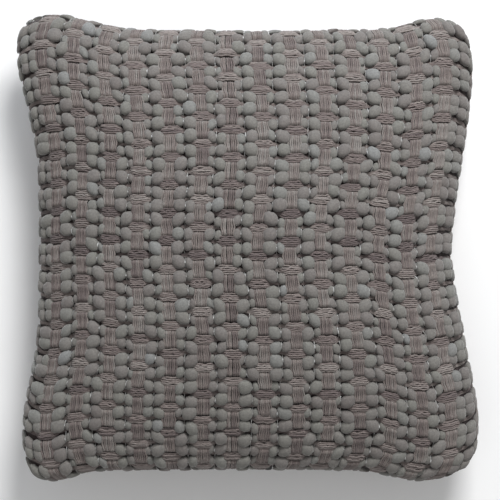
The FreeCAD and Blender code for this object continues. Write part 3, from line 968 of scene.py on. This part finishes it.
def build_seam():
    """The turned-in edges of both panels, their overlocking, and the lockstitch that joins them."""
    edge_low, edge_high = corners("seam_allowance")
    thread_low, thread_high = corners("seam_thread")
    zip_low, zip_high = corners("zip_tape_upper")
    start = (zip_high[0] + ALLOWANCE_BEYOND_ZIP, -CAD_REACH[1])
    end = (zip_low[0] - ALLOWANCE_BEYOND_ZIP, -CAD_REACH[1])

    def run(inset, spacing, z):
        return at_height(outline_run(inset_outline(OUTLINE, inset), start, end, spacing), z)

    middle = CAD_REACH[0] - edge_high[0] + (ALLOWANCE_WIDTH - 0.6) / 2 + 0.3
    layers = (("back", edge_low[2] + 0.55, 0.4, CANVAS), ("front", edge_high[2] - 0.5, 0.35, LINING_PAINTED_SHADE))
    made = []
    for number, (side, z, half, finish) in enumerate(layers):
        path = run(middle, 3.0, z)
        path[:, 2] += 0.1 * np.sin(np.arange(len(path)) * 0.9 + number)
        piece = sweep(f"seam_allowance_{side}", path[None], (0, 0, 1), ALLOWANCE_WIDTH / 2 - 0.4, half, 10,
                      finish, square=5)
        made.append(piece)
    quarter = ALLOWANCE_WIDTH / 4
    inner = run(middle + quarter, 2.0, (edge_low[2] + edge_high[2]) / 2)
    made.append(overlock_row("seam_overlock", inner, quarter, 0.75, 2.6, 0.16, OVERLOCK))
    path = run(CAD_REACH[0] - thread_high[0] + 0.4, 2.0, thread_low[2] + 0.2)
    made.append(stitch_row("seam_stitches", path, (0, 0, 1), 2.6, 0.5, 0.22, THREAD))
    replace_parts(made[0], "seam_allowance")
    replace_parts(made[-1], "seam_thread")
    return made


def build_label():
    """The blank care label, against the inside of the canvas."""
    points = BACK.points
    last = len(points) - 1
    away = np.linalg.norm(points - middle_and_half("care_label")[0], axis=2)
    i, j = np.unravel_index(np.argmin(away), away.shape)
    span = []
    for at, size, beside in ((i, LABEL_SIZE[0], points[i + 1, j]), (j, LABEL_SIZE[1], points[i, j + 1])):
        half = size / MM / np.linalg.norm(beside - points[i, j]) / 2
        span.append(((at - half) / last, (at + half) / last))
    inner = -CANVAS_THICK - LABEL_GAP
    label = shell("care_label_patch", BACK, inner, inner - LABEL_THICK, LABEL, span=span)
    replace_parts(label, "care_label")
    return label


build_seam()
build_label()


# ---- zip ----


def rounded_outline(half_x, half_z, square, count=24, taper=0.0):
    """A rounded rectangle, which may be narrower at its low X end."""
    side, lift = section(count, square)
    x = side * half_x
    return np.stack([x, lift * half_z * (1 + taper * (x / half_x - 1) / 2)], axis=1)


def prism(name, centre, outline, low_y, high_y, bevel, finish, body="cover"):
    """A flat piece with the given outline in X and Z, and rounded edges."""
    turn = np.linspace(0, math.pi / 2, 4)
    shrink = bevel * (1 - np.sin(turn))
    shrink = np.concatenate([shrink, shrink[::-1]])
    y = np.concatenate([low_y + bevel * (1 - np.cos(turn)), (high_y - bevel * (1 - np.cos(turn)))[::-1]])
    reach = np.abs(outline).max(axis=0)
    share = np.clip(1 - shrink[:, None] / reach[None], 0.02, 1)
    places = np.empty((1, len(y), len(outline), 3))
    places[0, :, :, 0] = centre[0] + outline[None, :, 0] * share[:, :1]
    places[0, :, :, 2] = centre[1] + outline[None, :, 1] * share[:, 1:]
    places[0, :, :, 1] = y[:, None]
    return place_piece(tubes(name, places, 0.5, 1.0), finish, body)


def build_tape(side, phase):
    """One zip tape: flat beside the chain, and a little rippled towards its sewn edge."""
    node = f"zip_tape_{side}"
    low, high = corners(node)
    x, z = np.meshgrid(np.linspace(low[0], high[0], 180), np.linspace(low[2], high[2], 9), indexing="ij")
    free = smooth_step((np.abs(z - SEAM_Z) - 4.4) / 3.0)
    y = (low[1] + high[1]) / 2 + 0.2 * free * np.sin(x / 3.7 + phase) + 0.12 * free * np.sin(x / 1.9)
    outer, inner = (np.stack([x, y + shift, z], axis=2) for shift in (-TAPE_HALF, TAPE_HALF))
    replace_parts(closed_sheet(f"zip_woven_tape_{side}", outer, inner, np.stack([x, z], axis=2), TAPE), node)


def build_coil(side, phase):
    """One row of the nylon chain: a continuous helix sewn to its tape."""
    node = f"zip_coil_{side}"
    low, high = corners(node)
    middle, half = middle_and_half(node)
    x = np.arange(low[0] + COIL_WIRE, high[0] - COIL_WIRE, COIL_PITCH / 12)
    turn = x / COIL_PITCH * 2 * math.pi + phase
    reach = half - COIL_WIRE
    path = np.stack([x, middle[1] + reach[1] * np.cos(turn), middle[2] + reach[2] * np.sin(turn)], axis=1)
    coil = sweep(f"zip_nylon_coil_{side}", path[None], (1, 0, 0), COIL_WIRE, COIL_WIRE, 8, COIL)
    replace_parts(coil, node)


def build_stops():
    """The stops at both ends of the chain: a pair at the closed end and one across the other end."""
    between = 0.6
    middle, half = middle_and_half("zip_top_stops")
    half_z = (half[2] - between) / 2
    clamp_middle, clamp_half = middle_and_half("zip_bottom_stop")
    made = []
    for name, side in (("upper", 1), ("lower", -1)):
        centre = (middle[0], SEAM_Z + side * (between + half_z))
        made.append(prism(f"zip_top_stop_{name}", centre, rounded_outline(half[0], half_z, 5),
                          middle[1] - half[1], middle[1] + half[1], STOP_BEVEL, METAL))
    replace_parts(made[0], "zip_top_stops")
    clamp = prism("zip_bottom_stop_clamp", (clamp_middle[0], SEAM_Z),
                  rounded_outline(clamp_half[0], clamp_half[2], 5), clamp_middle[1] - clamp_half[1],
                  clamp_middle[1] + clamp_half[1], STOP_BEVEL, METAL)
    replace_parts(clamp, "zip_bottom_stop")


def build_zip_stitches():
    """The two rows of stitches that hold the tapes, on their inside."""
    low, high = corners("zip_stitching")
    made = []
    for name, z in (("upper", high[2] - 0.4), ("lower", low[2] + 0.4)):
        path = np.array([[x, low[1] + 0.22, z] for x in (low[0] + 1, high[0] - 1)])
        made.append(stitch_row(f"zip_stitches_{name}", path, (0, 1, 0), 2.4, 0.5, 0.2, THREAD))
    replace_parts(made[0], "zip_stitching")


def build_slider():
    """The slider: two plates with flanges round the chain, a thin bridge, and a bail."""
    low, high = corners("zip_slider")
    (x, _, _), (half_x, _, half_z) = middle_and_half("zip_slider")
    outer = corners("zip_coil_lower")[0][1] - RUNNING_GAP - PLATE
    inner = corners("zip_tape_upper")[1][1] + RUNNING_GAP
    flange_end = corners("zip_tape_lower")[0][1] - RUNNING_GAP
    args = (METAL, "zip_slider")
    face = rounded_outline(half_x, half_z, 4.5, 32, taper=0.16)
    plates = []
    for name, y in (("outer", outer), ("inner", inner)):
        plates.append(prism(f"zip_slider_{name}_plate", (x, SEAM_Z), face, y, y + PLATE, PLATE_BEVEL, *args))
    for name, side in (("upper", 1), ("lower", -1)):
        centre = (x + 0.6, SEAM_Z + side * (half_z - 0.5))
        prism(f"zip_slider_flange_{name}", centre, rounded_outline(half_x - 0.9, 0.45, 4), outer + 0.3,
              flange_end, 0.2, *args)
    prism("zip_slider_bridge", (high[0] - 1.15, SEAM_Z), rounded_outline(1.1, 0.28, 5), outer + 0.4,
          inner + 0.6, 0.05, *args)
    turn = np.linspace(0, math.pi, 25)
    bow = signed_power(np.cos(turn), 0.5)
    arch = np.sin(turn) ** 0.6
    height = outer - low[1] - BAIL_BAR
    path = np.stack([x + bow * (BAIL_HALF - BAIL_BAR), outer + 0.3 - arch * (height + 0.3),
                     np.full(len(turn), SEAM_Z)], axis=1)
    sweep("zip_slider_bail", path[None], (0, 0, 1), BAIL_BAR, 0.58, 12, *args, square=3)
    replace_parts(plates[0], "zip_slider")


def build_pull():
    """The pull: a rounded tab with a grip, and a wire eye that turns under the bail."""
    low, high = corners("zip_pull")
    half_z = (high[2] - low[2]) / 2
    bar = (high[1] - low[1]) / 2
    eye = high[0] - bar
    start = low[0]
    neck = eye - 4.0
    args = (METAL, "zip_pull")
    outline = rounded_outline((neck - start) / 2, half_z, 3.6, 36, taper=0.22) * (-1, 1)
    tab = prism("zip_pull_tab", ((start + neck) / 2, SEAM_Z), outline, low[1] + 0.08, high[1] - 0.08, 0.3,
                *args)
    corner = 1.1
    arc = np.linspace(0, math.pi / 2, 6)
    reach = half_z - bar
    near = np.stack([np.linspace(neck - 1.2, eye - corner, 4, endpoint=False), np.full(4, reach)], axis=1)
    bend = np.stack([eye - corner + corner * np.sin(arc), reach - corner + corner * np.cos(arc)], axis=1)
    side = np.concatenate([near, bend, [[eye, 0.5]]])
    loop = np.concatenate([side, side[::-1] * (1, -1)])
    path = np.stack([loop[:, 0], np.full(len(loop), PIVOT[1]), SEAM_Z + loop[:, 1]], axis=1)
    sweep("zip_pull_eye", path[None], (0, 1, 0), bar * 0.96, bar * 0.96, 12, *args)
    z = np.linspace(SEAM_Z - half_z + 1.2, SEAM_Z + half_z - 1.2, 9)
    ridges = []
    for step in range(GRIP_RIDGES):
        x = start + 3.0 + GRIP_PITCH * step
        ridges.append(np.stack([np.full(len(z), x), np.full(len(z), low[1] + 0.12), z], axis=1))
    sweep("zip_pull_grip", np.stack(ridges), (0, 1, 0), 0.36, 0.16, 8, *args)
    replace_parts(tab, "zip_pull")


build_tape("upper", 0.0)
build_tape("lower", 2.0)
build_coil("upper", 0.0)
build_coil("lower", math.pi)
build_stops()
build_zip_stitches()
build_slider()
build_pull()


# ---- insert ----


def wrinkles(size, cells=16):
    """Smooth random dents over a skin's grid, which fade out towards its rim."""
    coarse = rng.normal(0, size, (cells + 1, cells + 1, 1))
    fine = upsample(coarse, max(1, math.ceil(CELLS / cells)))[: CELLS + 1, : CELLS + 1, 0]
    from_rim = np.minimum(np.arange(CELLS + 1), CELLS - np.arange(CELLS + 1))
    return np.abs(fine) * smooth_step(np.minimum(from_rim[:, None], from_rim) / 8.0)


def insert_layer(node, crown, up, lumps, above=None):
    """A wrinkled or lumpy layer of the insert, with its rim at the CAD layer's rim."""
    low, high = corners(node)
    outline = inset_outline(OUTLINE, CAD_REACH[0] - high[0])
    outline[:, 1] = np.maximum(outline[:, 1], low[1])
    grid = skin_grid(outline_sides(outline, CELLS + 1), crown, up)
    if above is not None:
        grid = rest_on_floor(grid, above)
    grid[..., 2] -= up * wrinkles(lumps)
    return Skin(grid, up)


def build_casing():
    """The two halves of the plain casing."""
    above = corners("insert_casing_back")[0][2] + 0.1
    crown = corners("insert_casing_front")[1][2] - SEAM_Z - 0.2
    top = insert_layer("insert_casing_front", crown, 1, 0.9)
    bottom = insert_layer("insert_casing_back", SEAM_Z + BELLY_PAST_FLOOR - above, -1, 0.7, above)
    for side, skin in (("front", top), ("back", bottom)):
        piece = shell(f"insert_casing_cloth_{side}", skin, 0.0, -CASING_THICK, CASING, step=3)
        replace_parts(piece, f"insert_casing_{side}")


def build_fibre():
    """The fibre inside the casing."""
    low, high = corners("insert_fill")
    upper = insert_layer("insert_fill", high[2] - SEAM_Z - 0.4, 1, 1.1)
    lower = insert_layer("insert_fill", SEAM_Z + BELLY_PAST_FLOOR - low[2], -1, 0.9, low[2] + 0.2)
    index = np.arange(0, len(upper.points), 3)
    cells = np.ix_(index, index)
    thread = np.stack(np.meshgrid(index * 1.0, index * 1.0, indexing="ij"), axis=2)
    fill = closed_sheet("insert_fibre", upper.points[cells] + (0, 0, 1.0), lower.points[cells] - (0, 0, 1.0),
                        thread, FILL)
    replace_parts(fill, "insert_fill")


def build_insert_seam():
    """The casing's overlocked seam, and the stitches that close the filling hole."""
    seam_low, seam_high = corners("insert_seam")
    low, high = corners("insert_closing_stitch")
    middle = inset_outline(OUTLINE, CAD_REACH[0] - seam_high[0] + 0.9)
    middle[:, 1] = np.maximum(middle[:, 1], seam_low[1] + 0.9)
    path = at_height(outline_run(middle, (low[0], high[1]), (high[0], high[1]), 3.0), SEAM_Z)
    edge = sweep("insert_seam_edge", path[None], (0, 0, 1), 0.75, 0.3, 10, CASING, square=5)
    overlock_row("insert_seam_overlock", path, 0.8, 0.5, 2.4, 0.14, WHITE_THREAD)
    path = np.array([[x, low[1] + 0.4, SEAM_Z] for x in (low[0], high[0])])
    closing = stitch_row("insert_closing_stitches", path, (0, 0, 1), 4.2, 0.8, 0.22, WHITE_THREAD)
    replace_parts(edge, "insert_seam")
    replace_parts(closing, "insert_closing_stitch")


build_casing()
build_fibre()
build_insert_seam()


# ---- stage, light and camera ----


def build_camera():
    """A camera straight above the pillow, with the head of the pillow at the top."""
    data = bpy.data.cameras.new("camera")
    data.sensor_width = SENSOR
    data.lens = SENSOR * (VIEW_HEIGHT - SEAM_Z * MM) / VIEW_WIDTH
    obj = bpy.data.objects.new("camera", data)
    obj.location = (*VIEW_CENTRE, VIEW_HEIGHT)
    bpy.context.scene.collection.objects.link(obj)
    bpy.context.scene.camera = obj


def area_light(name, place, size, power, colour=(1, 1, 1), target=(0, 0, 0.06)):
    """A soft square light that faces a target."""
    data = bpy.data.lights.new(name, "AREA")
    data.size = size
    data.energy = power
    data.color = colour
    obj = bpy.data.objects.new(name, data)
    obj.location = place
    obj.rotation_euler = (Vector(target) - Vector(place)).to_track_quat("-Z", "Y").to_euler()
    bpy.context.scene.collection.objects.link(obj)


def build_stage():
    """A plain pale floor and a pale surround."""
    mesh = bpy.data.meshes.new("floor")
    signs = ((-1, -1), (1, -1), (1, 1), (-1, 1))
    mesh.from_pydata([(x * FLOOR_REACH, y * FLOOR_REACH, 0) for x, y in signs], [], [(0, 1, 2, 3)])
    floor = bpy.data.objects.new("floor", mesh)
    bpy.context.scene.collection.objects.link(floor)
    mesh.materials.append(Nodes("floor").finish((0.9, 0.9, 0.9, 1), 0.9))
    world = bpy.data.worlds.new("surround")
    world.use_nodes = True
    background = world.node_tree.nodes["Background"]
    background.inputs["Color"].default_value = (1, 1, 1, 1)
    background.inputs["Strength"].default_value = 0.39
    bpy.context.scene.world = world


build_camera()
build_stage()
area_light("key", (0.45, 1.35, 1.45), 0.75, 41.0)
area_light("fill", (-0.2, -0.6, 2.0), 1.6, 4.5)
area_light("rear", (-0.1, 2.0, 0.6), 1.6, 7, (0.5, 0.72, 1.0), (0, 0.2, 0.06))
bpy.context.scene.view_settings.view_transform = "Standard"
